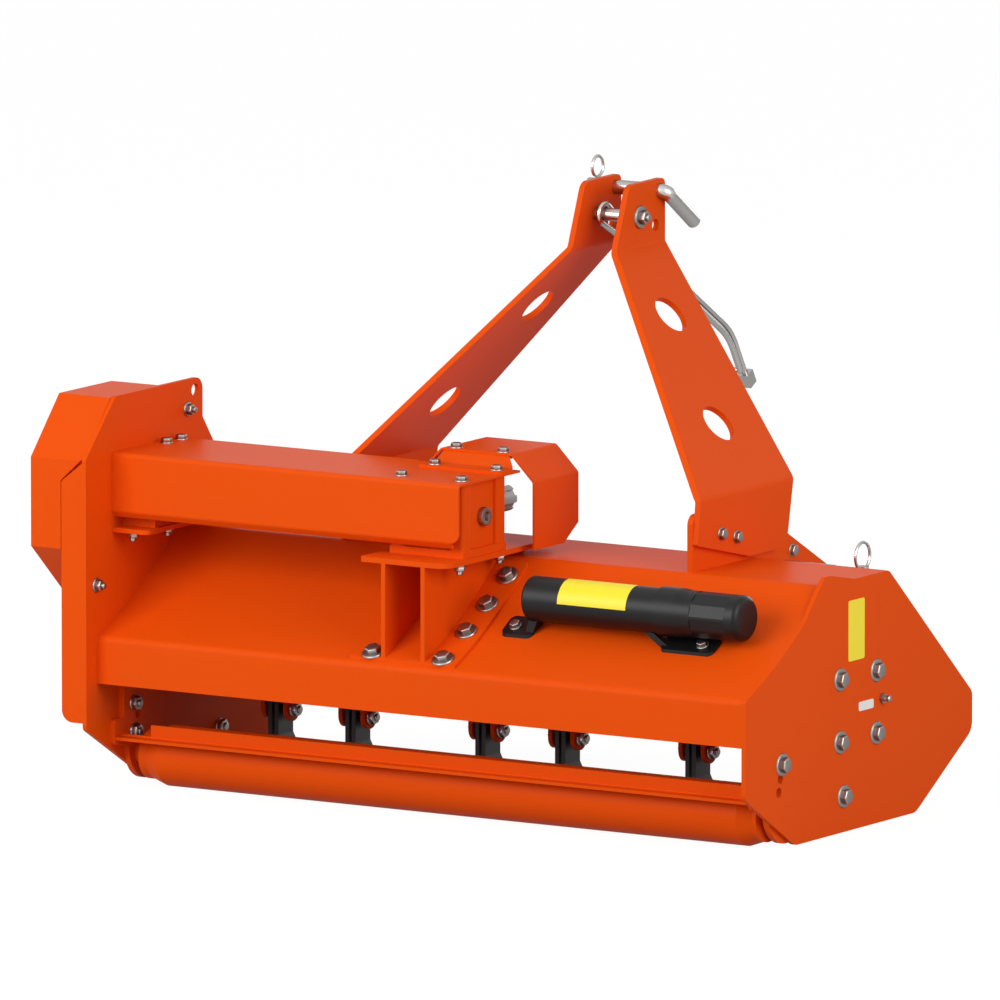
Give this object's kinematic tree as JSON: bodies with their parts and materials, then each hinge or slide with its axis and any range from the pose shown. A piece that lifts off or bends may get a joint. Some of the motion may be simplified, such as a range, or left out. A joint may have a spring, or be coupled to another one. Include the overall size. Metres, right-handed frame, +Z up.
{
  "type": "pasture topper",
  "caption": "Three-point mounted flail mower for topping pasture: folded hood between side plates, spinning rotor with hanging flails, rear roller, belt cover, gearbox stub and A-shaped mast.",
  "frame": {"origin": "bottom centre of the overall box, on the ground", "axes": "+X to the right as seen from behind, +Y forward to the tractor, +Z up"},
  "size_m": [1.071, 0.8386, 0.8105],
  "materials": {
    "orange_paint": "satin",
    "zinc": "satin",
    "black_plastic": "matte",
    "grey_cast": "matte",
    "dark_steel": "matte"
  },
  "bodies": {
    "frame": {"hood": "orange_paint", "side_plate_right": "orange_paint", "side_plate_left": "orange_paint", "belt_cover": "orange_paint", "gearbox_stand": "orange_paint", "gearbox": "orange_paint", "drive_tube": "orange_paint", "beam_cover": "orange_paint", "beam_shelf": "orange_paint", "pto_guard": "orange_paint", "guard_bracket": "orange_paint", "mast_arm_right": "orange_paint", "mast_arm_left": "orange_paint", "mast_bracket_right": "orange_paint", "mast_bracket_left": "orange_paint", "roller_bracket_right": "orange_paint", "roller_bracket_left": "orange_paint", "scraper": "orange_paint", "mast_spacer": "zinc", "top_link_pin": "zinc", "top_link_clip": "zinc", "lower_link_pin_right": "zinc", "lower_link_pin_left": "zinc", "linch_pin_right": "zinc", "linch_pin_left": "zinc", "document_tube": "black_plastic", "tube_cap": "black_plastic", "tube_feet": "black_plastic", "rotor_bearing_right": "grey_cast", "rotor_bearing_left": "grey_cast"},
    "rotor_body": {"rotor": "orange_paint", "flails": "dark_steel"},
    "roller_body": {"roller": "orange_paint"},
    "stub_body": {"pto_stub": "zinc"},
    "rest_body": {"shaft_rest": "zinc"}
  },
  "joints": [
    {"name": "rotor_spin", "type": "hinge", "parent": "frame", "child": "rotor_body", "pos_m": [0.0395, -0.1123, 0.159], "axis": [1, 0, 0], "continuous": true},
    {"name": "roller_spin", "type": "hinge", "parent": "frame", "child": "roller_body", "pos_m": [0.0395, -0.30329, 0.04], "axis": [1, 0, 0], "continuous": true},
    {"name": "stub_spin", "type": "hinge", "parent": "frame", "child": "stub_body", "pos_m": [0.0195, -0.1723, 0.392], "axis": [0, 1, 0], "continuous": true},
    {"name": "rest_swing", "type": "hinge", "parent": "frame", "child": "rest_body", "pos_m": [0.0475, 0.05171, 0.741], "axis": [1, 0, 0], "range_deg": [-50, 20]}
  ],
  "couplings": [
    {"joint": "stub_spin", "follows": "rotor_spin", "ratio": 0.2564}
  ]
}
